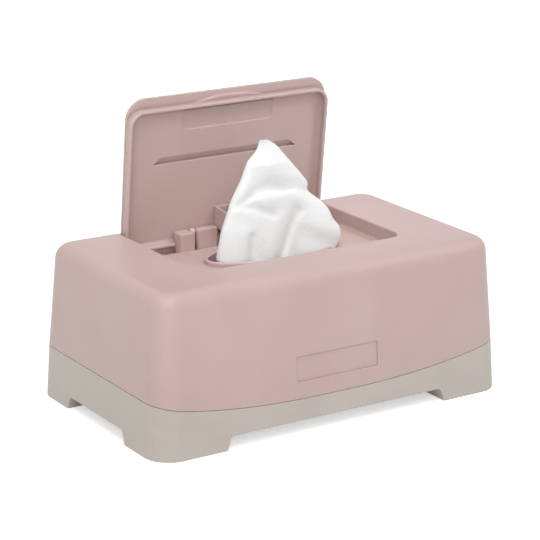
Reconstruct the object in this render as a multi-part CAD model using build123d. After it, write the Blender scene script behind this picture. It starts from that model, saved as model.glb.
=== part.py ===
from build123d import *
import os
from math import cos, radians, sin, tan

# A moulded box for a stack of folded wipes: a tray with four corner feet, a cover that lifts
# off it, and a lid hinged in the cover's sunken top. Millimetres. X runs along the box,
# Y from front to back and Z up. The origin is on the ground, under the middle of the box.

# The case, which is the tray and the cover together
case_length = 240.0
case_width = 144.4
case_height = 93.5
corner_at_foot = 16.1  # plan corner radius at the ground
corner_at_top = 13.2  # and at the top
face_draft = 4.35  # degrees, front and back
tray_end_draft = 2.33  # degrees, left and right, below the seam
cover_end_draft = 4.03  # degrees, left and right, above the seam
top_edge_radius = 9.0
tray_wall = 2.3
cover_wall = 2.2

# The seam between them, a curve that dips towards the middle
seam_end_height = 31.9
seam_middle_height = 20.2
seam_power = 2.55
seam_gap = 0.3
seam_spans = 16
lip_height = 4.0  # the tray's inner lip stands this far above the seam
lip_wall = 1.1
lip_clearance = 0.15

# The tray's feet and floor
foot_height = 8.06
floor_thickness = 2.0
foot_gap_long = 145.4  # between left and right feet, just under the floor
foot_gap_short = 62.4  # between front and back feet
foot_flare = 5.8  # both gaps are wider by this on the ground
foot_gap_corner = 3.0

# The sunken top that the lid closes into, and the deeper pan for its hinge
recess_length = 141.8
recess_front_margin = 38.8  # the case's front at the ground to the recess
recess_back_margin = 10.2
recess_depth = 8.9
recess_draft = 5.0
recess_corner = 9.0
recess_back_corner = 3.0
recess_edge = 0.9  # the turned edge at its top
recess_floor_radius = 1.5
pan_width = 32.0
pan_depth = 17.0
pan_draft = 2.0
stop_ledge_length = 124.0
stop_ledge_depth = 5.0
stop_ledge_height = 3.3

# The dispensing opening
slot_length = 86.4
slot_width = 34.6
slot_margin = 33.4  # recess front to the opening's middle
slot_rim_width = 2.0
slot_rim_height = 2.8

# The badge's place on the front, left bare
badge_length = 56.0
badge_height = 14.8
badge_middle = 38.1
badge_depth = 0.6
badge_corner = 1.2

# The lid
lid_open_angle = 84.2
hinge_margin = 18.0  # the case's back at the ground to the hinge line
hinge_drop = 5.3  # the hinge line lies this far under the top
lid_length = 139.4
lid_reach = 87.2  # hinge line to free edge
lid_tail = 7.1  # hinge line to back edge
lid_plate = 2.4
lid_corner = 12.5
lid_back_corner = 2.0
lid_back_radius = 5.0
lid_edge_radius = 1.0
lid_depth = 7.3
lid_flange = 6.2  # free edge to skirt
lid_side_flange = 0.2
skirt_wall = 2.1
skirt_corner = 9.5
skirt_edge = 0.5  # the bevel of its rim
lid_floor_radius = 2.0

# What is moulded into the lid's inner face
groove_length = 101.0
groove_taper = 6.0  # each end narrows over this length
groove_start = 45.1  # hinge line to its deep edge
groove_width = 4.2
groove_depth = 1.8
pocket_length = 64.0
pocket_rise = 14.4  # from the front skirt
pocket_depth = 0.7
pocket_corner = 4.0
grip_length = 49.0
grip_rise = 3.2
grip_height = 0.8
grip_slope = 40.0

# The hinge
pin_radius = 1.1
pin_fit = 0.02  # pin in the cover's posts
lug_fit = 0.06  # pin in the lid's lugs
lug_radius = 2.1
lug_web = 2.6
lug_width = 3.2
side_clearance = 0.4  # between lug and posts
boss_width = 11.6
boss_start = 0.2
boss_end = 13.0
boss_depth = 15.5
boss_wall = 1.3
boss_clearance = 0.5
inner_post_length = 14.7
inner_post_reach = 4.2  # from its front to the hinge line
outer_post_length = 10.5
outer_post_reach = 8.7
post_over_pin = 2.0  # the posts end this far above and behind the hinge line
post_corner = 2.0
post_edge = 0.8
post_throat = 1.8  # lower down, their backs stay this far in front of it
pin_stop = 1.1  # closed end of the pin's hole

# The wipes
stack_length = 190.0
stack_width = 105.0
stack_height = 50.0
stack_edge = 5.0
rest_gap = 0.3  # between soft things and what carries them
wipe_top = 155.0
wipe_middle = -3.0
wipe_spread = 83.0  # its length in the opening
wipe_thickness = 12.0

overshoot = 1.0  # a cut runs past the face that it opens by this much
recess_front = recess_front_margin - case_width / 2
recess_back = case_width / 2 - recess_back_margin
pan_front = recess_back - pan_width
slot_middle = recess_front + slot_margin
hinge_y = case_width / 2 - hinge_margin
hinge_z = case_height - hinge_drop
floor_top = foot_height + floor_thickness
stack_top = floor_top + rest_gap + stack_height
open_top = case_height + 5.0  # cuts from above start here
hinge_line = Axis((0, hinge_y, hinge_z), (1, 0, 0))


def slope(angle):
    return tan(radians(angle))


def rounded(front, back, length, front_corner, back_corner):
    """A plan outline from front to back, with its own corners at each."""
    shape = Pos(0, (front + back) / 2) * Rectangle(length, back - front)
    shape = fillet(shape.vertices().group_by(Axis.Y)[0], front_corner)
    return fillet(shape.vertices().group_by(Axis.Y)[-1], back_corner)


def case_outline(z, end_draft, inset):
    """The case's plan at height z, drawn in by inset. The ends lean from the seam's ends."""
    end_at_seam = case_length / 2 - seam_end_height * slope(tray_end_draft)
    half_length = end_at_seam - (z - seam_end_height) * slope(end_draft) - inset
    half_width = case_width / 2 - z * slope(face_draft) - inset
    corner = corner_at_foot + (corner_at_top - corner_at_foot) * z / case_height - inset
    return Pos(0, 0, z) * RectangleRounded(2 * half_length, 2 * half_width, corner)


def case_block(low, high, end_draft, inset=0.0):
    outlines = [case_outline(z, end_draft, inset).face() for z in (low, high)]
    return loft(outlines, ruled=True)


def seam_height(x):
    """A power curve through the seam's middle and its ends."""
    dip = seam_end_height - seam_middle_height
    return seam_end_height - dip * (1 - abs(2 * x / case_length) ** seam_power)


def below_seam(rise=0.0):
    """All that lies under the seam, or under the seam raised by rise."""
    half = case_length / 2
    stations = [half * (2 * i / seam_spans - 1) for i in range(seam_spans + 1)]
    curve = Spline(*[(x, seam_height(x) + rise) for x in stations])
    end = seam_end_height + rise
    skirt = Polyline((half, end), (half, -foot_height), (-half, -foot_height), (-half, end))
    section = Plane.XZ * make_face(curve + skirt)
    return extrude(section, amount=case_width, both=True)


def foot_gap(width, grow=0.0):
    """The section of the gap between two feet, in its own plane, with its top corners rounded."""
    top = foot_height + grow
    flare = foot_flare / 2 * (1 + top / foot_height) + grow
    low = width / 2 - foot_flare / 2 * grow / foot_height
    section = make_face(
        Polyline((low, top), (-low, top), (-low - flare, -foot_height), (low + flare, -foot_height), close=True)
    )
    corners = section.vertices().group_by(Axis.Y)[-1]
    return fillet(corners, foot_gap_corner + grow)


def foot_gaps(grow=0.0):
    """The two gaps that cross under the floor and leave a foot at each corner."""
    along_y = extrude(Plane.XZ * foot_gap(foot_gap_long, grow), amount=case_width, both=True)
    along_x = extrude(Plane.YZ * foot_gap(foot_gap_short, grow), amount=case_length, both=True)
    return along_y, along_x


def base_tray():
    high = seam_end_height + 2 * lip_height
    body = case_block(0, high, tray_end_draft) & below_seam()
    lip_block = case_block(floor_thickness, high, tray_end_draft, tray_wall - lip_wall)
    body += lip_block & below_seam(lip_height)
    hollow = case_block(floor_thickness, high, tray_end_draft, tray_wall)
    for gap, floor in zip(foot_gaps(), foot_gaps(floor_thickness)):
        body -= gap
        hollow -= floor
    return body - hollow


def recess_block(grow=0.0):
    """The sunken top and the hinge pan, as the space they take, or grown by a wall."""
    half = recess_length / 2
    floor = case_height - recess_depth - grow
    bend = recess_edge * (1 - sin(radians(45)))
    outlines = []
    for z, flare in (
        (floor, 0.0),
        (case_height - recess_edge, 0.0),
        (case_height - bend, bend),
        (case_height, recess_edge),
        (open_top, recess_edge),
    ):
        lean = (case_height - z) * slope(recess_draft) - grow - flare
        plan = rounded(
            recess_front + lean,
            recess_back + grow,
            2 * (half - lean),
            recess_corner + grow + flare,
            recess_back_corner + grow,
        )
        outlines.append((Pos(0, 0, z) * plan).face())
    recess = loft(outlines, ruled=True)
    rise = 2 * recess_floor_radius  # the pan's walls run on past the rounded edge of the floor
    pan_length = recess_length - 2 * (recess_depth - rise) * slope(recess_draft)
    corner = recess_back_corner + grow
    plan = rounded(pan_front - grow, recess_back + grow, pan_length + 2 * grow, corner, corner)
    top = case_height - recess_depth + rise
    pan = extrude(Pos(0, 0, top) * plan, amount=-(pan_depth - recess_depth + rise + grow), taper=pan_draft)
    if grow == 0.0:
        recess = fillet(recess.edges().group_by(Axis.Z)[0], recess_floor_radius)
        pan = fillet(pan.edges().group_by(Axis.Z)[0], recess_floor_radius)
    return recess + pan


def slot_rim():
    floor = case_height - recess_depth
    outer = Ellipse(slot_length / 2 + slot_rim_width, slot_width / 2 + slot_rim_width)
    ring = extrude(outer - Ellipse(slot_length / 2, slot_width / 2), amount=slot_rim_height + cover_wall / 2)
    ring = chamfer(ring.edges().group_by(Axis.Z)[-1], slot_rim_width / 4)
    return Pos(0, slot_middle, floor - cover_wall / 2) * ring


def post_block(reach, start, length):
    """A hinge post that rises from the pan, its back rounded at the top and cut in lower down."""
    bottom = case_height - pan_depth - cover_wall / 2
    top = hinge_z + post_over_pin
    front = hinge_y - reach
    back = hinge_y + post_over_pin
    throat = hinge_y - post_throat
    throat_top = hinge_z - lug_radius - post_over_pin
    section = make_face(
        Polyline(
            (front, bottom),
            (front, top),
            (back, top),
            (back, throat_top + back - throat),
            (throat, throat_top),
            (throat, bottom),
            close=True,
        )
    )
    top_front, top_back = section.vertices().group_by(Axis.Y)[-1].sort_by(Axis.X)
    section = fillet(top_back, post_over_pin * 0.9)
    section = fillet(section.vertices().group_by(Axis.Y)[-1].sort_by(Axis.X)[0], post_edge)
    post = extrude(Plane.YZ * section, amount=length)
    post = fillet(post.edges().filter_by(Axis.Z).group_by(Axis.Y)[0], post_corner)
    return Pos(start, 0, 0) * post


def hinge_posts():
    """The posts of one side: an inner one by the lid's boss and an outer one past its lug."""
    inner_start = boss_width / 2 + boss_clearance
    outer_start = inner_start + inner_post_length + lug_width + 2 * side_clearance
    posts = post_block(inner_post_reach, inner_start, inner_post_length)
    posts += post_block(outer_post_reach, outer_start, outer_post_length)
    return posts


def pin_span():
    """Where the pin of the right side starts and ends."""
    start = boss_width / 2 + boss_clearance + pin_stop
    end = start - pin_stop + inner_post_length + lug_width + 2 * side_clearance + outer_post_length
    return start, end


def along_hinge(radius, start, end):
    """A round bar on the hinge line."""
    bar = Cylinder(radius, end - start, rotation=(0, 90, 0))
    return Pos((start + end) / 2, hinge_y, hinge_z) * bar


def badge_place():
    lean = Plane(
        origin=(0, -(case_width / 2 - badge_middle * slope(face_draft)), badge_middle),
        x_dir=(1, 0, 0),
        z_dir=(0, -cos(radians(face_draft)), sin(radians(face_draft))),
    )
    plate = lean * RectangleRounded(badge_length, badge_height, badge_corner)
    return extrude(plate, amount=badge_depth, both=True)


def cover():
    low = seam_middle_height - lip_height
    top = case_height - cover_wall
    shell = case_block(low, case_height, cover_end_draft)
    shell = fillet(shell.edges().group_by(Axis.Z)[-1], top_edge_radius)
    hollow = case_block(low, top, cover_end_draft, cover_wall)
    hollow = fillet(hollow.edges().group_by(Axis.Z)[-1], top_edge_radius - cover_wall)
    shell -= hollow - recess_block(cover_wall)
    shell -= recess_block()
    rebate = case_block(low, top, tray_end_draft, tray_wall - lip_wall - lip_clearance)
    shell -= rebate & below_seam(lip_height + seam_gap)
    shell -= below_seam(seam_gap)
    slot = extrude(Ellipse(slot_length / 2, slot_width / 2), amount=case_height)
    shell += slot_rim()
    shell -= Pos(0, slot_middle, case_height / 2) * slot
    ledge_height = stop_ledge_height + cover_wall / 2
    ledge = Box(stop_ledge_length, stop_ledge_depth, ledge_height, align=(Align.CENTER, Align.MAX, Align.MIN))
    shell += Pos(0, recess_back, case_height - pan_depth - cover_wall / 2) * ledge
    start, end = pin_span()
    for side in (1, -1):
        posts = hinge_posts() - along_hinge(pin_radius + pin_fit, start, end + overshoot)
        if side < 0:
            posts = mirror(posts, Plane.YZ)
        shell += posts
    return shell - badge_place()


def lid_envelope():
    """The lid's side view, with its rounded back edge."""
    back = hinge_y + lid_tail
    low = case_height - boss_depth
    section = make_face(
        Polyline(
            (hinge_y - lid_reach, low),
            (hinge_y - lid_reach, case_height),
            (back, case_height),
            (back, low),
            close=True,
        )
    )
    corner = section.vertices().group_by(Axis.X)[-1].sort_by(Axis.Y)[-1]
    section = fillet(corner, lid_back_radius)
    return extrude(Plane.YZ * section, amount=lid_length, both=True)


def skirt_block(top, low, inset=0.0):
    """The block inside the lid's flange, between two depths under the case's top."""
    plan = rounded(
        hinge_y - lid_reach + lid_flange + inset,
        hinge_y + lid_tail - inset,
        lid_length - 2 * lid_side_flange - 2 * inset,
        skirt_corner - inset,
        lid_back_corner + inset,
    )
    return extrude(Pos(0, 0, case_height - top) * plan, amount=top - low)


def groove():
    """A long notch across the inner face, deep at its hinge side and narrowing to its ends."""
    near = hinge_y - groove_start
    far = near - groove_width
    face = case_height - lid_plate
    notch = make_face(Polyline((near, face), (near, face + groove_depth), (far, face), close=True))
    notch = extrude(Plane.YZ * notch, amount=groove_length, both=True)
    half = groove_length / 2
    short = half - groove_taper
    plan = make_face(Polyline((-half, near), (half, near), (short, far), (-short, far), close=True))
    return notch & extrude(Pos(0, 0, face) * plan, amount=groove_depth, both=True)


def pocket():
    skirt = hinge_y - lid_reach + lid_flange + skirt_wall
    plan = RectangleRounded(pocket_length, pocket_rise, pocket_corner)
    at = Pos(0, skirt + pocket_rise / 2, case_height - lid_plate)
    return at * extrude(plan, amount=pocket_depth, taper=grip_slope)


def grip():
    """A raised half moon on the flange, where a finger catches the lid."""
    half = grip_length / 2
    foot = skirt_wall / 2
    arc = ThreePointArc((-half, 0), (0, -grip_rise), (half, 0))
    moon = make_face(arc + Polyline((half, 0), (half, foot), (-half, foot), (-half, 0)))
    moon = extrude(moon, amount=grip_height, taper=grip_slope)
    return Pos(0, hinge_y - lid_reach + lid_flange, case_height - lid_plate) * moon


def hinge_boss():
    """The box at the lid's middle, open towards the free edge."""
    length = boss_end - boss_start
    depth = boss_depth - lid_plate / 2
    block = Box(boss_width, length, depth, align=(Align.CENTER, Align.MAX, Align.MAX))
    inner_width = boss_width - 2 * boss_wall
    inner_start = lid_plate / 2 + boss_wall
    inner_depth = depth - boss_wall - inner_start
    inner = Box(inner_width, length, inner_depth, align=(Align.CENTER, Align.MAX, Align.MAX))
    boss = block - Pos(0, -boss_wall, -inner_start) * inner
    return Pos(0, hinge_y - boss_start, case_height - lid_plate / 2) * boss


def hinge_lug():
    """The ear that the right pin goes through."""
    start = boss_width / 2 + boss_clearance + inner_post_length + side_clearance
    end = start + lug_width
    web_height = hinge_drop - lid_plate / 2
    web = Box(lug_width, lug_web, web_height, align=(Align.MIN, Align.CENTER, Align.MIN))
    lug = along_hinge(lug_radius, start, end) + Pos(start, hinge_y, hinge_z) * web
    return lug - along_hinge(pin_radius + lug_fit, start - overshoot, end + overshoot)


def lid():
    front = hinge_y - lid_reach
    back = hinge_y + lid_tail
    plan = rounded(front, back, lid_length, lid_corner, lid_back_corner)
    plate = extrude(Pos(0, 0, case_height) * plan, amount=-lid_plate)
    plate = fillet(plate.edges().group_by(Axis.Z)[-1], lid_edge_radius)
    body = (plate + skirt_block(lid_plate / 2, lid_depth)) & lid_envelope()
    room = skirt_block(lid_plate, lid_depth + overshoot, skirt_wall)
    body -= fillet(room.edges().group_by(Axis.Z)[-1], lid_floor_radius)
    body = chamfer(body.edges().group_by(Axis.Z)[0], skirt_edge)
    body -= groove()
    body -= pocket()
    body += mirror(grip(), Plane.XY.offset(case_height - lid_plate))
    body += hinge_boss()
    lug = hinge_lug()
    body += lug
    body += mirror(lug, Plane.YZ)
    return body.rotate(hinge_line, -lid_open_angle)


def hinge_pin(side):
    start, end = pin_span()
    pin = along_hinge(pin_radius, start, end)
    pin = chamfer(pin.edges().filter_by(GeomType.CIRCLE), pin_radius / 4)
    return pin if side > 0 else mirror(pin, Plane.YZ)


def wipe_stack():
    block = Box(stack_length, stack_width, stack_height, align=(Align.CENTER, Align.CENTER, Align.MIN))
    block = fillet(block.edges().filter_by(Axis.Z), stack_edge)
    return Pos(0, 0, floor_top + rest_gap) * block


def popped_wipe():
    """The wipe that stands in the opening, drawn up from the stack."""
    opening = case_height - recess_depth
    rise = wipe_top - opening
    sections = [
        # height over the opening, left edge and right edge as parts of the spread, thickness
        (0.0, -0.48, 0.48, 0.9),
        (0.19, -0.475, 0.51, 1.0),
        (0.5, -0.38, 0.28, 0.9),
        (0.85, -0.23, 0.06, 0.6),
        (1.0, -0.13, -0.05, 0.3),
    ]
    bundle = Ellipse(wipe_spread / 4, wipe_thickness / 4)
    rings = [(Pos(0, wipe_middle, stack_top + rest_gap) * bundle).face()]
    for height, left, right, thickness in sections:
        ring = Ellipse(wipe_spread * (right - left) / 2, wipe_thickness / 2 * thickness)
        middle = wipe_spread * (left + right) / 2
        rings.append((Pos(middle, wipe_middle, opening + rise * height) * ring).face())
    return loft(rings, ruled=True)


nodes = {
    "base_tray": base_tray(),
    "cover": cover(),
    "lid": lid(),
    "hinge_pin_left": hinge_pin(-1),
    "hinge_pin_right": hinge_pin(1),
    "wipe_stack": wipe_stack(),
    "popped_wipe": popped_wipe(),
}

os.makedirs("parts", exist_ok=True)
for name, shape in nodes.items():
    export_step(shape, f"parts/{name}.step")
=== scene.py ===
import bmesh
import bpy
import math
import numpy as np
from mathutils import Matrix, Vector


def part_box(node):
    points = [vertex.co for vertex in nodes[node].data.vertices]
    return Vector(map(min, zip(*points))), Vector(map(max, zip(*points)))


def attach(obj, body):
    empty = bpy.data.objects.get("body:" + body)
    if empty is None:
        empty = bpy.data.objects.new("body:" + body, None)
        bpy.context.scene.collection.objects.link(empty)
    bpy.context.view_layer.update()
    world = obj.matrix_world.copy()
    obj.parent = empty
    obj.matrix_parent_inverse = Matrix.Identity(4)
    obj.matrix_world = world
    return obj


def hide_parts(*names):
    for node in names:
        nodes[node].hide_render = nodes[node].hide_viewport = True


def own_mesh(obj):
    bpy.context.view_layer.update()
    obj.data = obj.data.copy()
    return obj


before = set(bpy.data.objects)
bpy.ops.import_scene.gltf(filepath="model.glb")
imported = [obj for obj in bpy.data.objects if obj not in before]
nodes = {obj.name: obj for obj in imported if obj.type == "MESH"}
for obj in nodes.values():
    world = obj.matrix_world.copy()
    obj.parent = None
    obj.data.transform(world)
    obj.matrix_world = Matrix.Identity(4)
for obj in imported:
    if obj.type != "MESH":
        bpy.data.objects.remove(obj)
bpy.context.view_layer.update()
mm = 0.001
print("frame loaded:", sorted(nodes))


def addObject(name, data):
    thing = bpy.data.objects.new(name, data)
    bpy.context.scene.collection.objects.link(thing)
    return thing


def addMath(tree, operation, *terms, clamp=False):
    # each term is a number, or the socket that carries one
    node = tree.nodes.new("ShaderNodeMath")
    node.operation = operation
    node.use_clamp = clamp
    for socket, term in zip(node.inputs, terms):
        if isinstance(term, (int, float)):
            socket.default_value = term
        else:
            tree.links.new(term, socket)
    return node.outputs[0]


viewSettings = {
    "azimuth": -33.03,  # degrees, 0 looks along +Y
    "elevation": 17.07,  # degrees above the floor
    "roll": 0.42,  # degrees
    "distance": 1.2653,  # metres, as the target
    "target": (-0.00108, 0.0007, 0.07445),
    "lens": 142.57,  # millimetres, as the sensor
    "sensorWidth": 36.0,
    "clipStart": 0.05,
}


def makeCamera(values):
    # stands back from its target along the line of view, and is rolled about that line
    azimuth = math.radians(values["azimuth"])
    elevation = math.radians(values["elevation"])
    roll = math.radians(values["roll"])
    back = Vector((
        math.sin(azimuth) * math.cos(elevation),
        -math.cos(azimuth) * math.cos(elevation),
        math.sin(elevation),
    ))
    right = Vector((math.cos(azimuth), math.sin(azimuth), 0))
    up = back.cross(right)
    rolledRight = right * math.cos(roll) + up * math.sin(roll)
    rolledUp = up * math.cos(roll) - right * math.sin(roll)
    turn = Matrix((rolledRight, rolledUp, back)).transposed()
    place = Vector(values["target"]) + back * values["distance"]
    data = bpy.data.cameras.new("view")
    data.lens = values["lens"]
    data.sensor_width = values["sensorWidth"]
    data.clip_start = values["clipStart"]
    camera = addObject("view", data)
    camera.matrix_world = Matrix.Translation(place) @ turn.to_4x4()
    bpy.context.scene.camera = camera


lightSettings = {
    "world": 0.56,
    "floor": {
        "size": 12.0,
        "tone": 0.9,
        "roughness": 0.8,
        "glow": 0.5,  # what the floor adds of its own where the camera sees it
    },
    # place, aim, size in metres, power in watts
    "softboxes": {
        "topSoftbox": ((-0.3, -0.5, 1.9), (0, 0, 0.05), (1.6, 1.6), 18),
        "frontSoftbox": ((-0.74, -1.3, 1.05), (0, 0, 0.09), (1.2, 1.0), 7.5),
    },
    # soft-edged spots that open up the sunken top: place, aim, angle in degrees, radius, power
    "spots": {
        "lidSpot": ((-0.60, -0.92, 0.46), (-0.01, 0.05, 0.1), 8.0, 0.08, 14),
        "hingeSpot": ((-0.75, -0.55, 1.1), (-0.02, 0.05, 0.088), 5.5, 0.08, 34),
        "recessSpot": ((0.72, -0.62, 1.0), (0.045, 0.035, 0.088), 7.5, 0.08, 38),
    },
}


def placeLight(name, data, place, aim, power):
    data.energy = power
    direction = Vector(aim) - Vector(place)
    turn = direction.to_track_quat("-Z", "Y").to_matrix().to_4x4()
    addObject(name, data).matrix_world = Matrix.Translation(place) @ turn


def makeSoftbox(name, place, aim, size, power):
    data = bpy.data.lights.new(name, "AREA")
    data.shape = "RECTANGLE"
    data.size, data.size_y = size
    placeLight(name, data, place, aim, power)


def makeSpot(name, place, aim, angle, radius, power):
    data = bpy.data.lights.new(name, "SPOT")
    data.spot_size = math.radians(angle)
    data.spot_blend = 1.0  # fades all the way from the middle
    data.shadow_soft_size = radius
    placeLight(name, data, place, aim, power)


def seenRays(tree):
    # 1 on rays that the camera, a gloss or a glass sends
    path = tree.nodes.new("ShaderNodeLightPath")
    total = path.outputs["Is Camera Ray"]
    for ray in ("Is Glossy Ray", "Is Transmission Ray"):
        total = addMath(tree, "MAXIMUM", total, path.outputs[ray])
    return total


def makeWorld(strength):
    # soft even light on the object, and plain white wherever the world itself is seen
    world = bpy.data.worlds.new("studio")
    bpy.context.scene.world = world
    world.use_nodes = True
    tree = world.node_tree
    tree.nodes.clear()
    output = tree.nodes.new("ShaderNodeOutputWorld")
    mix = tree.nodes.new("ShaderNodeMixShader")
    tree.links.new(seenRays(tree), mix.inputs[0])
    for shaderInput, level in ((mix.inputs[1], strength), (mix.inputs[2], 1.0)):
        background = tree.nodes.new("ShaderNodeBackground")
        background.inputs["Color"].default_value = (1, 1, 1, 1)
        background.inputs["Strength"].default_value = level
        tree.links.new(background.outputs[0], shaderInput)
    tree.links.new(mix.outputs[0], output.inputs["Surface"])


def makeFloor(values):
    # a pale square on the ground, which catches the shadow
    half = values["size"] / 2
    tone = values["tone"]
    corners = [(-half, -half, 0), (half, -half, 0), (half, half, 0), (-half, half, 0)]
    mesh = bpy.data.meshes.new("floor")
    mesh.from_pydata(corners, [], [(0, 1, 2, 3)])
    floor = addObject("floor", mesh)
    material = bpy.data.materials.new("paleFloor")
    material.use_nodes = True
    tree = material.node_tree
    shader = tree.nodes["Principled BSDF"]
    shader.inputs["Base Color"].default_value = (tone, tone, tone, 1)
    shader.inputs["Roughness"].default_value = values["roughness"]
    shader.inputs["Emission Color"].default_value = (1, 1, 1, 1)
    glow = addMath(tree, "MULTIPLY", seenRays(tree), values["glow"])
    tree.links.new(glow, shader.inputs["Emission Strength"])
    mesh.materials.append(material)


bpy.context.scene.view_settings.view_transform = "Standard"
makeCamera(viewSettings)
makeWorld(lightSettings["world"])
makeFloor(lightSettings["floor"])
for softboxName, softboxValues in lightSettings["softboxes"].items():
    makeSoftbox(softboxName, *softboxValues)
for spotName, spotValues in lightSettings["spots"].items():
    makeSpot(spotName, *spotValues)
print("camera, floor and lamps made")


def newGroup(name, inputs, outputs):
    # an empty shader group; inputs are (name, kind, default), outputs are (name, kind)
    group = bpy.data.node_groups.new(name, "ShaderNodeTree")
    for socketName, kind, default in inputs:
        socketType = "NodeSocket" + kind
        socket = group.interface.new_socket(name=socketName, in_out="INPUT", socket_type=socketType)
        if default is not None:
            socket.default_value = default
    for socketName, kind in outputs:
        socketType = "NodeSocket" + kind
        group.interface.new_socket(name=socketName, in_out="OUTPUT", socket_type=socketType)
    return group, group.nodes.new("NodeGroupInput"), group.nodes.new("NodeGroupOutput")


def addNoise(tree, position, scale, detail, distortion=0.0):
    # scale is a number, or the socket that carries one
    noise = tree.nodes.new("ShaderNodeTexNoise")
    noise.inputs["Detail"].default_value = detail
    noise.inputs["Distortion"].default_value = distortion
    if isinstance(scale, (int, float)):
        noise.inputs["Scale"].default_value = scale
    else:
        tree.links.new(scale, noise.inputs["Scale"])
    tree.links.new(position, noise.inputs["Vector"])
    return noise.outputs["Fac"]


def addRange(tree, value, low, high, newLow=0.0, newHigh=1.0):
    node = tree.nodes.new("ShaderNodeMapRange")
    limits = {"From Min": low, "From Max": high, "To Min": newLow, "To Max": newHigh}
    for socketName, number in limits.items():
        node.inputs[socketName].default_value = number
    tree.links.new(value, node.inputs["Value"])
    return node.outputs["Result"]


def addMix(tree, factor, first, second):
    # first and second are colours, or the sockets that carry them
    node = tree.nodes.new("ShaderNodeMix")
    node.data_type = "RGBA"
    sockets = {socket.identifier: socket for socket in node.inputs}
    tree.links.new(factor, sockets["Factor_Float"])
    for socketName, colour in (("A_Color", first), ("B_Color", second)):
        if isinstance(colour, tuple):
            sockets[socketName].default_value = (*colour, 1)
        else:
            tree.links.new(colour, sockets[socketName])
    return {socket.identifier: socket for socket in node.outputs}["Result_Color"]


# In the groups' values a pair is the noise, or the shade, at which an effect starts and is full.
grainValues = {
    "fineDetail": 2.0,
    "pits": (0.32, 0.68),
    "mottleDetail": 4.0,
    "mottleDistortion": 0.6,
    "mottle": (0.3, 0.7),
}


def makeGrainGroup(values):
    # the fine matt grain of a spark-eroded mould, with a slow mottle over it
    group, given, result = newGroup(
        "mouldGrain",
        [("Position", "Vector", None), ("Grain Scale", "Float", 1500.0), ("Mottle Scale", "Float", 26.0)],
        [("Height", "Float"), ("Mottle", "Float")],
    )
    position, grainScale, mottleScale = given.outputs[:3]
    fine = addNoise(group, position, grainScale, values["fineDetail"])
    pits = addRange(group, fine, *values["pits"])
    drift = addNoise(group, position, mottleScale, values["mottleDetail"], values["mottleDistortion"])
    group.links.new(pits, result.inputs["Height"])
    group.links.new(addRange(group, drift, *values["mottle"]), result.inputs["Mottle"])
    return group


edgeValues = {
    "reach": 0.004,  # how far off another wall still counts, in metres
    "reachSamples": 8,
    "bevelSamples": 6,
    "bend": (0.995, 0.86),  # cosine between the flat and the rounded normal
    "patchScale": 85.0,
    "patchDetail": 3.0,
    "patches": (0.36, 0.62),
    "patchRubAndHighlight": (0.35, 1.0),  # least and most rubbing and painted highlight over the patches
    "outer": (0.5, 0.85),
    # openness at which the painted shade of inner corners starts and is full
    "corner": (0.9, 0.2),
}


def makeEdgeGroup(values):
    # rounds sharp edges in the shading; marks the outer ones that hands rub, paler as wear and as a
    # painted highlight; and gives painted shade in the inner corners and grooves
    group, given, result = newGroup(
        "rubbedEdgeHighlightAndShade",
        [("Position", "Vector", None), ("Radius", "Float", 0.0005), ("Rub And Highlight", "Float", 1.0)],
        [("Mask", "Float"), ("Normal", "Vector"), ("Painted Shade", "Float")],
    )
    position, radius, rubAndHighlight = given.outputs[:3]
    openness = group.nodes.new("ShaderNodeAmbientOcclusion")
    openness.only_local = True
    openness.samples = values["reachSamples"]
    openness.inputs["Distance"].default_value = values["reach"]
    bevel = group.nodes.new("ShaderNodeBevel")
    bevel.samples = values["bevelSamples"]
    group.links.new(radius, bevel.inputs["Radius"])
    geometry = group.nodes.new("ShaderNodeNewGeometry")
    turn = group.nodes.new("ShaderNodeVectorMath")
    turn.operation = "DOT_PRODUCT"
    group.links.new(bevel.outputs["Normal"], turn.inputs[0])
    group.links.new(geometry.outputs["Normal"], turn.inputs[1])
    bend = addRange(group, turn.outputs["Value"], *values["bend"])
    patchNoise = addNoise(group, position, values["patchScale"], values["patchDetail"])
    patches = addRange(group, patchNoise, *values["patches"], *values["patchRubAndHighlight"])
    outer = addRange(group, openness.outputs["AO"], *values["outer"])
    # paler edges: wear, and in part a painted highlight
    rubbedAndHighlit = addMath(group, "MULTIPLY", addMath(group, "MULTIPLY", bend, patches), outer)
    mask = addMath(group, "MULTIPLY", rubbedAndHighlit, rubAndHighlight, clamp=True)
    # painted shade: the less open the surface, the more its colour is darkened
    corner = addRange(group, openness.outputs["AO"], *values["corner"])
    group.links.new(mask, result.inputs["Mask"])
    group.links.new(bevel.outputs["Normal"], result.inputs["Normal"])
    group.links.new(corner, result.inputs["Painted Shade"])
    return group


dustValues = {
    "driftScale": 14.0,
    "driftDetail": 5.0,
    "driftDistortion": 0.8,
    "drift": (0.44, 0.72),
    "speckScale": 900.0,
    "speckDetail": 1.0,
    "specks": (0.66, 0.74),
    "film": 0.45,  # strength of the film against that of the specks
}


def makeDustGroup(values):
    # specks and a thin film of lint dust in drifting patches
    group, given, result = newGroup(
        "lintDust",
        [("Position", "Vector", None), ("Amount", "Float", 0.3)],
        [("Mask", "Float")],
    )
    position, amount = given.outputs[:2]
    driftNoise = addNoise(
        group, position, values["driftScale"], values["driftDetail"], values["driftDistortion"]
    )
    drift = addRange(group, driftNoise, *values["drift"])
    speckNoise = addNoise(group, position, values["speckScale"], values["speckDetail"])
    specks = addRange(group, speckNoise, *values["specks"])
    film = addMath(group, "MULTIPLY", drift, values["film"])
    both = addMath(group, "MAXIMUM", film, addMath(group, "MULTIPLY", specks, drift))
    mask = addMath(group, "MULTIPLY", both, amount, clamp=True)
    group.links.new(mask, result.inputs["Mask"])
    return group


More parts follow.
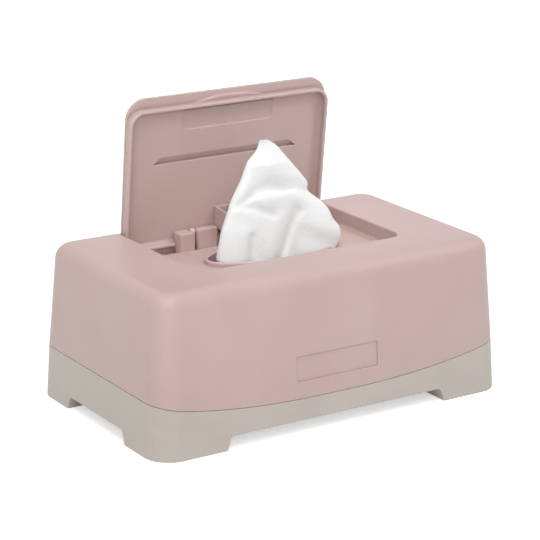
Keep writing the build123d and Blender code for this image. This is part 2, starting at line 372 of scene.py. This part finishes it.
fibreValues = {
    "wisps": ((0.5, 7.0), (-0.7, 9.0), (1.5, 6.0)),  # turn about Y in radians, stretch
    "tilt": 0.35,  # turn about X
    "twist": 0.6,  # turn about Z for each radian about Y
    "wispScale": 190.0,
    "wispDetail": 3.0,
    "strand": (0.42, 0.64),
    "strandHeight": 0.33,
    "crinkleScale": 240.0,
    "crinkleDetail": 3.0,
    "crinkleHeight": 0.8,
    "tone": (0.4, 2.4),
}


def makeFibreGroup(values):
    # nonwoven fibre: crossing wisps of stretched noise over a soft crinkle
    group, given, result = newGroup(
        "crossedFibre",
        [("Position", "Vector", None), ("Fibre Scale", "Float", 1.0)],
        [("Height", "Float"), ("Tone", "Float")],
    )
    position, fibreScale = given.outputs[:2]
    strands = []
    for turn, stretch in values["wisps"]:
        mapping = group.nodes.new("ShaderNodeMapping")
        mapping.inputs["Rotation"].default_value = (values["tilt"], turn, turn * values["twist"])
        mapping.inputs["Scale"].default_value = (1.0, stretch, stretch)
        group.links.new(position, mapping.inputs["Vector"])
        scale = addMath(group, "MULTIPLY", fibreScale, values["wispScale"])
        wisp = addNoise(group, mapping.outputs[0], scale, values["wispDetail"])
        strands.append(addRange(group, wisp, *values["strand"]))
    total = strands[0]
    for strand in strands[1:]:
        total = addMath(group, "ADD", total, strand)
    crinkle = addNoise(group, position, values["crinkleScale"], values["crinkleDetail"])
    strandHeight = addMath(group, "MULTIPLY", total, values["strandHeight"])
    crinkleHeight = addMath(group, "MULTIPLY", crinkle, values["crinkleHeight"])
    group.links.new(addMath(group, "ADD", strandHeight, crinkleHeight), result.inputs["Height"])
    group.links.new(addRange(group, total, *values["tone"]), result.inputs["Tone"])
    return group


mouldGrain = makeGrainGroup(grainValues)
rubbedEdgeHighlightAndShade = makeEdgeGroup(edgeValues)
lintDust = makeDustGroup(dustValues)
crossedFibre = makeFibreGroup(fibreValues)
print("shared shader groups made")


def startMaterial(name):
    material = bpy.data.materials.new(name)
    material.use_nodes = True
    tree = material.node_tree
    coordinates = tree.nodes.new("ShaderNodeTexCoord")
    return material, tree, tree.nodes["Principled BSDF"], coordinates.outputs["Object"]


def placeGroup(tree, group, position, inputs):
    node = tree.nodes.new("ShaderNodeGroup")
    node.node_tree = group
    tree.links.new(position, node.inputs["Position"])
    for socketName, number in inputs.items():
        node.inputs[socketName].default_value = number
    return node.outputs


def addBump(tree, height, distance, strength, normal=None):
    bump = tree.nodes.new("ShaderNodeBump")
    bump.inputs["Distance"].default_value = distance
    bump.inputs["Strength"].default_value = strength
    tree.links.new(height, bump.inputs["Height"])
    if normal is not None:
        tree.links.new(normal, bump.inputs["Normal"])
    return bump.outputs["Normal"]


rosePlasticValues = {
    "colour": (0.505, 0.373, 0.354),
    "deepColour": (0.485, 0.353, 0.334),
    # paler colour of rubbed edges: wear, and in part a painted highlight
    "rubbedAndHighlightColour": (0.66, 0.54, 0.52),
    # painted shade for inner corners and grooves
    "cornerColour": (0.27, 0.17, 0.155),
    "cornerShade": 0.8,
    "dustColour": (0.62, 0.56, 0.54),
    "roughness": (0.36, 0.46),  # at the mottle's low and at its high
    "grainScale": 1600.0,
    "grainHeight": 0.00006,
    "edgeRadius": 0.0009,
    "rubAndHighlight": 0.9,
    "dust": 0.25,
}

taupePlasticValues = {
    "colour": (0.485, 0.440, 0.400),
    "deepColour": (0.455, 0.412, 0.372),
    # paler colour of rubbed edges: wear, and in part a painted highlight
    "rubbedAndHighlightColour": (0.60, 0.56, 0.52),
    # painted shade for inner corners and grooves
    "cornerColour": (0.26, 0.23, 0.20),
    "cornerShade": 0.6,
    "dustColour": (0.60, 0.57, 0.54),
    "roughness": (0.40, 0.50),
    "grainScale": 1400.0,
    "grainHeight": 0.00008,
    "edgeRadius": 0.0006,
    "rubAndHighlight": 0.5,
    "dust": 0.3,
}

plasticSurfaceValues = {
    "rubPolish": 0.1,  # roughness that rubbing takes off
    "dustDulling": 0.3,  # roughness that dust adds
    "grainStrength": 0.6,
    "refraction": 1.46,
}


def mouldedPlastic(name, values, surface):
    # mottled colour, with painted shade in the inner corners, paler on rubbed edges as wear and
    # as a painted highlight, dusty on top; the grain is a bump
    material, tree, shader, position = startMaterial(name)
    grain = placeGroup(tree, mouldGrain, position, {"Grain Scale": values["grainScale"]})
    edge = placeGroup(tree, rubbedEdgeHighlightAndShade, position, {"Radius": values["edgeRadius"], "Rub And Highlight": values["rubAndHighlight"]})
    dust = placeGroup(tree, lintDust, position, {"Amount": values["dust"]})
    mottled = addMix(tree, grain["Mottle"], values["deepColour"], values["colour"])
    # painted shade darkens the inner corners and grooves
    corner = addMath(tree, "MULTIPLY", edge["Painted Shade"], values["cornerShade"], clamp=True)
    shaded = addMix(tree, corner, mottled, values["cornerColour"])
    # rubbed edges made paler as wear and as a painted highlight
    wornAndHighlighted = addMix(tree, edge["Mask"], shaded, values["rubbedAndHighlightColour"])
    dusty = addMix(tree, dust["Mask"], wornAndHighlighted, values["dustColour"])
    tree.links.new(dusty, shader.inputs["Base Color"])
    satin = addRange(tree, grain["Mottle"], 0, 1, *values["roughness"])
    polish = addMath(tree, "MULTIPLY", edge["Mask"], surface["rubPolish"])
    polished = addMath(tree, "SUBTRACT", satin, polish)
    dulling = addMath(tree, "MULTIPLY", dust["Mask"], surface["dustDulling"])
    dulled = addMath(tree, "ADD", polished, dulling, clamp=True)
    tree.links.new(dulled, shader.inputs["Roughness"])
    grained = addBump(
        tree, grain["Height"], values["grainHeight"], surface["grainStrength"], edge["Normal"]
    )
    tree.links.new(grained, shader.inputs["Normal"])
    shader.inputs["IOR"].default_value = surface["refraction"]
    return material


rosePlastic = mouldedPlastic("rosePlastic", rosePlasticValues, plasticSurfaceValues)
taupePlastic = mouldedPlastic("taupePlastic", taupePlasticValues, plasticSurfaceValues)


pinSteelValues = {
    "bright": (0.62, 0.61, 0.60),
    "dull": (0.42, 0.41, 0.40),
    "roughness": (0.22, 0.42),
    "drawScale": (30, 9000, 9000),  # long along the pin, fine across it
    "drawDetail": 3.0,
    "draw": (0.3, 0.7),
    "drawHeight": 0.00002,
    "drawStrength": 0.5,
    "grainScale": 2600.0,
    "mottleScale": 120.0,
}


def drawnSteel(name, values):
    # fine draw lines run along the pin, which lies along X
    material, tree, shader, position = startMaterial(name)
    mapping = tree.nodes.new("ShaderNodeMapping")
    mapping.inputs["Scale"].default_value = values["drawScale"]
    tree.links.new(position, mapping.inputs["Vector"])
    lineNoise = addNoise(tree, mapping.outputs[0], 1.0, values["drawDetail"])
    lines = addRange(tree, lineNoise, *values["draw"])
    scales = {"Grain Scale": values["grainScale"], "Mottle Scale": values["mottleScale"]}
    grain = placeGroup(tree, mouldGrain, position, scales)
    colour = addMix(tree, lines, values["dull"], values["bright"])
    roughness = addRange(tree, grain["Mottle"], 0, 1, *values["roughness"])
    drawn = addBump(tree, lines, values["drawHeight"], values["drawStrength"])
    tree.links.new(colour, shader.inputs["Base Color"])
    tree.links.new(roughness, shader.inputs["Roughness"])
    tree.links.new(drawn, shader.inputs["Normal"])
    shader.inputs["Metallic"].default_value = 1.0
    return material


pinSteel = drawnSteel("pinSteel", pinSteelValues)


wipeClothValues = {
    "thick": (0.725, 0.735, 0.735),
    "thin": (0.68, 0.695, 0.695),
    "roughness": (0.86, 0.97),
    "fibreHeight": 0.00004,
    "fibreStrength": 0.5,
    "glow": 0.4,  # how much light spreads inside the damp cloth
    "glowReach": 0.004,  # and how far, in metres, the same for all colours
}


def nonwovenCloth(name, values):
    # white fibre, a little darker and smoother where it lies thin
    material, tree, shader, position = startMaterial(name)
    fibre = placeGroup(tree, crossedFibre, position, {})
    colour = addMix(tree, fibre["Tone"], values["thin"], values["thick"])
    roughness = addRange(tree, fibre["Tone"], 0, 1, *values["roughness"])
    fibrous = addBump(tree, fibre["Height"], values["fibreHeight"], values["fibreStrength"])
    tree.links.new(colour, shader.inputs["Base Color"])
    tree.links.new(roughness, shader.inputs["Roughness"])
    tree.links.new(fibrous, shader.inputs["Normal"])
    shader.inputs["Subsurface Weight"].default_value = values["glow"]
    shader.inputs["Subsurface Radius"].default_value = (1.0, 1.0, 1.0)
    shader.inputs["Subsurface Scale"].default_value = values["glowReach"]
    return material


wipeCloth = nonwovenCloth("wipeCloth", wipeClothValues)
print("materials made:", rosePlastic.name, taupePlastic.name, pinSteel.name, wipeCloth.name)


def gridPiece(name, points, material, closeAround=False):
    # points is rows x columns x 3, in metres; quads join neighbours
    rows, columns = points.shape[:2]
    index = np.arange(rows * columns).reshape(rows, columns)
    if closeAround:
        index = np.concatenate([index, index[:, :1]], axis=1)
    corners = [index[:-1, :-1], index[:-1, 1:], index[1:, 1:], index[1:, :-1]]
    quads = np.stack(corners, axis=-1).reshape(-1, 4)
    mesh = bpy.data.meshes.new(name)
    mesh.vertices.add(rows * columns)
    mesh.vertices.foreach_set("co", points.reshape(-1).astype(np.float32))
    mesh.loops.add(quads.size)
    mesh.loops.foreach_set("vertex_index", quads.reshape(-1).astype(np.int32))
    mesh.polygons.add(len(quads))
    mesh.polygons.foreach_set("loop_start", np.arange(0, quads.size, 4, dtype=np.int32))
    mesh.polygons.foreach_set("use_smooth", np.ones(len(quads), dtype=bool))
    mesh.update(calc_edges=True)
    mesh.validate()
    mesh.materials.append(material)
    return addObject(name, mesh)


def smoothed(values, reach):
    # a running mean weighted by a bell curve out to three times its reach, with the ends held
    span = 3 * reach
    steps = np.arange(-span, span + 1)
    weights = np.exp(-0.5 * (steps / reach) ** 2)
    padded = np.pad(values, span, mode="edge")
    return np.convolve(padded, weights / weights.sum(), mode="valid")


# Millimetres, x to the right and z up; the wipe faces the front.
wipeValues = {
    "flat": (0.15, 0.17),  # width and length of the sheet laid flat, in metres
    "rows": 320,
    "columns": 280,
    # the outline from the opening's rim to the tip: height, x
    "leftEdge": [
        (84, -39), (88, -41), (104, -37.7), (122, -30.8), (134, -23.9), (144.5, -19.6),
        (147, -16), (150.6, -12.6), (154, -12.1), (155.3, -11.2),
    ],
    "rightEdge": [
        (84, 38.5), (87.5, 41.4), (90, 43.4), (94, 44.2), (98, 43), (101.6, 38.8), (109, 35.7),
        (114.5, 30.3), (121.5, 20.4), (126, 22.2), (140, 9.9), (150, 1.2), (153, -1.9),
        (154.6, -4.8), (155.3, -8),
    ],
    "edgeSmoothing": 3,  # rows
    "edgeRound": 0.5,  # power that swells the cloth out from its edges
    "lean": 6.0,  # how far the front layer comes forward at the opening
    "frontOffset": 1.53,  # from the middle plane to the front layer
    "backOffset": 2.72,
    "backShare": 0.96,  # how far the back layer returns under the front one
    "backRelief": 0.6,  # how much of the front layer's relief the back one follows
    "backLean": 0.75,  # and of its lean
    "taper": 14.0,  # height over which the cloth closes up towards its tip and its tail
    "tipShare": 0.12,  # what is left of its depth there
    "tailShare": 0.06,
    # crowns of the cloth: x, z, half length, half width, lean in degrees, height
    "crowns": [
        (-7, 143, 21, 13, 62, 3.2),
        (4, 134.5, 20, 10, -28, 3.0),
        (-24.5, 129, 19, 8, 60, 3.0),
        (-4, 121, 21, 9, -4, 3.0),
        (15, 115, 19, 12, -38, 2.8),
        (-29, 92, 33, 19, 72, 4.5),
        (-8, 86, 32, 17, 84, 4.5),
        (-1, 109, 12, 11, 0, 2.2),
        (35, 96, 32, 19, -36, 6.2),
        (36, 84, 36, 22, 4, 6.6),
        (42, 93, 9, 3, 82, 3.4),
    ],
    "crownBlend": 1.1,
    "crownSharpness": 0.7,  # 1 is a round crown, 0.5 a pointed one
    "crownBlunt": 0.02,  # takes the point off
    # creases: depth, half widths on the left and on the right of the line, then its points as x, z
    "creases": [
        (1.3, 4.8, 1.9, [(-30, 119.5), (-17, 125), (-8, 126.6), (2, 125.2), (11, 125), (18, 122.5)]),
        (0.9, 2.8, 2.2, [(-29, 119), (-18, 117), (-6, 111)]),
        (1.5, 3.6, 1.8, [(-22.2, 80), (-20.8, 94), (-20, 100)]),
        (1.7, 6.0, 2.2, [(-4, 82), (2.4, 93), (7.4, 103), (12, 110)]),
        (0.8, 1.8, 1.8, [(37, 100), (38, 90)]),
    ],
    "crumple": {"seed": 7, "waves": 12, "height": 0.08, "shortest": 12.0, "longest": 30.0},
    "tailHalf": 35.0,  # half the tail's width below the opening
    "tailLength": 74.0,  # what lies folded on the stack
    "tailFold": 17.0,  # length of one fold
    "tailPitch": 1.1,  # drop from one fold to the next
    "tailStart": 4.0,  # run over which the first fold sets in
    "tailClear": 0.6,  # from the lowest fold to the stack
}


def crownHeight(x, z, values):
    # each crown falls away with a power of the distance, and the highest one, or the plain sheet
    # at height 0, wins through a soft maximum
    blend = values["crownBlend"]
    total = np.ones_like(x)
    for centreX, centreZ, halfLength, halfWidth, lean, height in values["crowns"]:
        turn = math.radians(lean)
        along = (x - centreX) * math.cos(turn) + (z - centreZ) * math.sin(turn)
        across = (z - centreZ) * math.cos(turn) - (x - centreX) * math.sin(turn)
        away = (along / halfLength) ** 2 + (across / halfWidth) ** 2 + values["crownBlunt"]
        total += np.exp(height * (1 - away ** values["crownSharpness"]) / blend)
    return blend * np.log(total)


def creaseDepth(x, z, values):
    # a bell-shaped furrow round each polyline, with a width of its own on either side of it
    tiny = 1e-9  # keeps the side defined on the line itself
    total = np.zeros_like(x)
    for depth, leftWidth, rightWidth, points in values["creases"]:
        nearest = np.full_like(x, np.inf)
        side = np.zeros_like(x)
        for (startX, startZ), (endX, endZ) in zip(points[:-1], points[1:]):
            dx, dz = endX - startX, endZ - startZ
            fromX, fromZ = x - startX, z - startZ
            share = np.clip((fromX * dx + fromZ * dz) / (dx * dx + dz * dz), 0, 1)
            apart = np.hypot(fromX - share * dx, fromZ - share * dz)
            sine = (fromX * dz - fromZ * dx) / (math.hypot(dx, dz) * apart + tiny)
            side = np.where(apart < nearest, np.clip(sine, -1, 1), side)
            nearest = np.minimum(nearest, apart)
        halfWidth = (leftWidth + rightWidth) / 2 + side * (rightWidth - leftWidth) / 2
        total += depth * np.exp(-((nearest / halfWidth) ** 2))
    return total


def crumpleHeight(x, z, values):
    # plane waves in drawn directions, lengths and phases
    draw = np.random.default_rng(values["seed"])
    total = np.zeros_like(x)
    for _ in range(values["waves"]):
        heading, phase = draw.uniform(0, 2 * math.pi, 2)
        pitch = 2 * math.pi / draw.uniform(values["shortest"], values["longest"])
        across = x * math.cos(heading) + z * math.sin(heading)
        total += values["height"] * np.sin(pitch * across + phase)
    return total


def wipeSides(z, low, rim, values):
    # the outline's left and right x at each height, drawn in below the rim to a straight tail
    settle = np.clip((z - low) / (rim - low), 0, 1)
    tailHalf = values["tailHalf"]
    sides = []
    for edge, tail in ((values["leftEdge"], -tailHalf), (values["rightEdge"], tailHalf)):
        heights, places = np.array(edge).T
        side = smoothed(np.interp(z, heights, places), values["edgeSmoothing"])
        sides.append(np.where(z < rim, tail + (side - tail) * settle, side))
    return sides


def tailFolds(beyond, values):
    # past the opening the sheet runs to and fro over the stack, in folds of equal length
    phase = beyond / values["tailFold"]
    swing = np.abs((phase + 0.5) % 2 - 1) - 0.5
    begun = np.clip(beyond / values["tailStart"], 0, 1)
    return swing * values["tailFold"] * begun, -values["tailPitch"] * phase


def wipeDepth(x, z, angle, low, rim, top, values):
    # signed distance from the middle plane: relief and lean push the front layer forwards, the
    # back one follows in part, and both close up at the edges, the tip and the tail
    relief = crownHeight(x, z, values) - creaseDepth(x, z, values)
    relief = relief + crumpleHeight(x, z, values["crumple"])
    lean = values["lean"] * np.clip((top - z) / (top - rim), 0, 1)
    front = values["frontOffset"] + relief + lean
    back = values["backOffset"] - values["backRelief"] * relief - values["backLean"] * lean
    rounding = np.abs(np.sin(angle)) ** values["edgeRound"]
    nearTip = np.clip((top - z) / values["taper"], values["tipShare"], 1)
    nearTail = np.clip((z - low) / values["taper"], values["tailShare"], 1)
    return np.where(np.sin(angle) < 0, -front, back) * rounding * nearTip * nearTail


def makePoppedWipe(values, middle, low):
    # One sheet folded over at its right: columns run along the front to the fold and part of the
    # way back, rows from the top edge down through the opening and into the folds on the stack.
    rim = values["leftEdge"][0][0]
    top = values["leftEdge"][-1][0]
    straight = top - low
    run = np.linspace(0, straight + values["tailLength"], values["rows"])
    height = np.maximum(top - run, low)
    left, right = wipeSides(height, low, rim, values)
    tailY, tailZ = tailFolds(np.clip(run - straight, 0, None), values)
    lastAngle = 2 * math.pi + values["backShare"] * math.pi
    angle = np.linspace(math.pi, lastAngle, values["columns"])[None, :]
    x = ((left + right) / 2)[:, None] + ((right - left) / 2)[:, None] * np.cos(angle)
    z = np.repeat(height[:, None], values["columns"], axis=1)
    y = middle + wipeDepth(x, z, angle, low, rim, top, values) + tailY[:, None]
    points = np.stack([x, y, z + tailZ[:, None]], axis=-1) * mm
    piece = gridPiece("poppedWipe", points, wipeCloth)
    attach(piece, "cover")
    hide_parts("popped_wipe")
    return piece


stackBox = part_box("wipe_stack")
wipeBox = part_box("popped_wipe")
stackTop = stackBox[1][2] / mm
wipeMiddle = (wipeBox[0][1] + wipeBox[1][1]) / 2 / mm
tailDrop = wipeValues["tailPitch"] * wipeValues["tailLength"] / wipeValues["tailFold"]
tailTop = stackTop + wipeValues["tailClear"] + tailDrop
poppedWipe = makePoppedWipe(wipeValues, wipeMiddle, tailTop)
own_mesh(poppedWipe)
print("popped wipe made")


# Millimetres.
stackValues = {
    "layers": 26,
    "rowsPerLayer": 8,
    "columns": 240,
    "cornerRadius": 5.0,
    "ripple": 0.7,  # how far the grooves between the layers go in
    "foldRound": 0.6,  # power that rounds each fold
    "drift": (0.25, 37),  # how far the layers stray, and radians of it over the stack's height
    "capRows": 30,
    "capMiddle": 0.02,  # share of the outline at which the top and the bottom close
    "evenBand": 0.9,  # share of the outline past which the rings keep one distance from it
    "swell": (0.35, 17, 13),  # height, then the length of one radian along x and along y
    "wrinkle": (0.2, 7, 9),
    "sag": 0.48,
}


def stackOutline(halfLength, halfWidth, radius, columns):
    # a superellipse of high power stands in for the corner arcs, so spacing stays even
    angle = np.linspace(0, 2 * math.pi, columns, endpoint=False)
    power = 1 / (1 + halfWidth / radius)
    x = np.sign(np.cos(angle)) * np.abs(np.cos(angle)) ** power * halfLength
    y = np.sign(np.sin(angle)) * np.abs(np.sin(angle)) ** power * halfWidth
    return x, y


def stackSurface(values, low, high):
    # rings of a rounded rectangle: out over the bottom, up the folded side, and in over the top
    halfLength, halfWidth = (high[0] - low[0]) / 2, (high[1] - low[1]) / 2
    height = high[2] - low[2]
    outlineX, outlineY = stackOutline(halfLength, halfWidth, values["cornerRadius"], values["columns"])
    climb = np.linspace(0, 1, values["layers"] * values["rowsPerLayer"] + 1)
    fold = np.abs(np.sin(math.pi * climb * values["layers"])) ** values["foldRound"]
    stray, strayTurns = values["drift"]
    inset = values["ripple"] * (1 - fold) + stray * np.sin(climb * strayTurns)
    cap = np.linspace(values["capMiddle"], 1, values["capRows"])
    share = np.concatenate([cap, 1 - inset / halfWidth, cap[::-1]])[:, None]
    ends = np.ones(values["capRows"])
    rise = np.concatenate([0 * ends, climb, ends])[:, None]
    evenShare = np.where(share > values["evenBand"], halfWidth / halfLength, 1)
    x = outlineX * (1 - (1 - share) * evenShare)
    y = outlineY * share
    swell, swellX, swellY = values["swell"]
    wrinkle, wrinkleX, wrinkleY = values["wrinkle"]
    wave = swell * np.sin(x / swellX) * np.cos(y / swellY)
    wave = wave + wrinkle * np.sin(x / wrinkleX + y / wrinkleY)
    z = low[2] + rise * height + rise ** 2 * (wave - values["sag"])
    return np.stack([x, y, z], axis=-1)


def closeEnds(mesh):
    # fills the holes left in the middle of the top and the bottom, and turns all faces outwards
    work = bmesh.new()
    work.from_mesh(mesh)
    bmesh.ops.holes_fill(work, edges=work.edges)
    bmesh.ops.recalc_face_normals(work, faces=work.faces)
    work.to_mesh(mesh)
    work.free()


def makeFoldedStack(values, box):
    points = stackSurface(values, np.array(box[0]) / mm, np.array(box[1]) / mm) * mm
    piece = gridPiece("foldedStack", points, wipeCloth, closeAround=True)
    closeEnds(piece.data)
    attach(piece, "tray")
    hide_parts("wipe_stack")


makeFoldedStack(stackValues, stackBox)
print("folded stack made")


finishes = {
    "cover": rosePlastic,
    "lid": rosePlastic,
    "base_tray": taupePlastic,
    "hinge_pin_left": pinSteel,
    "hinge_pin_right": pinSteel,
}
for name, material in finishes.items():
    nodes[name].data.materials.clear()
    nodes[name].data.materials.append(material)
print("finishes given")
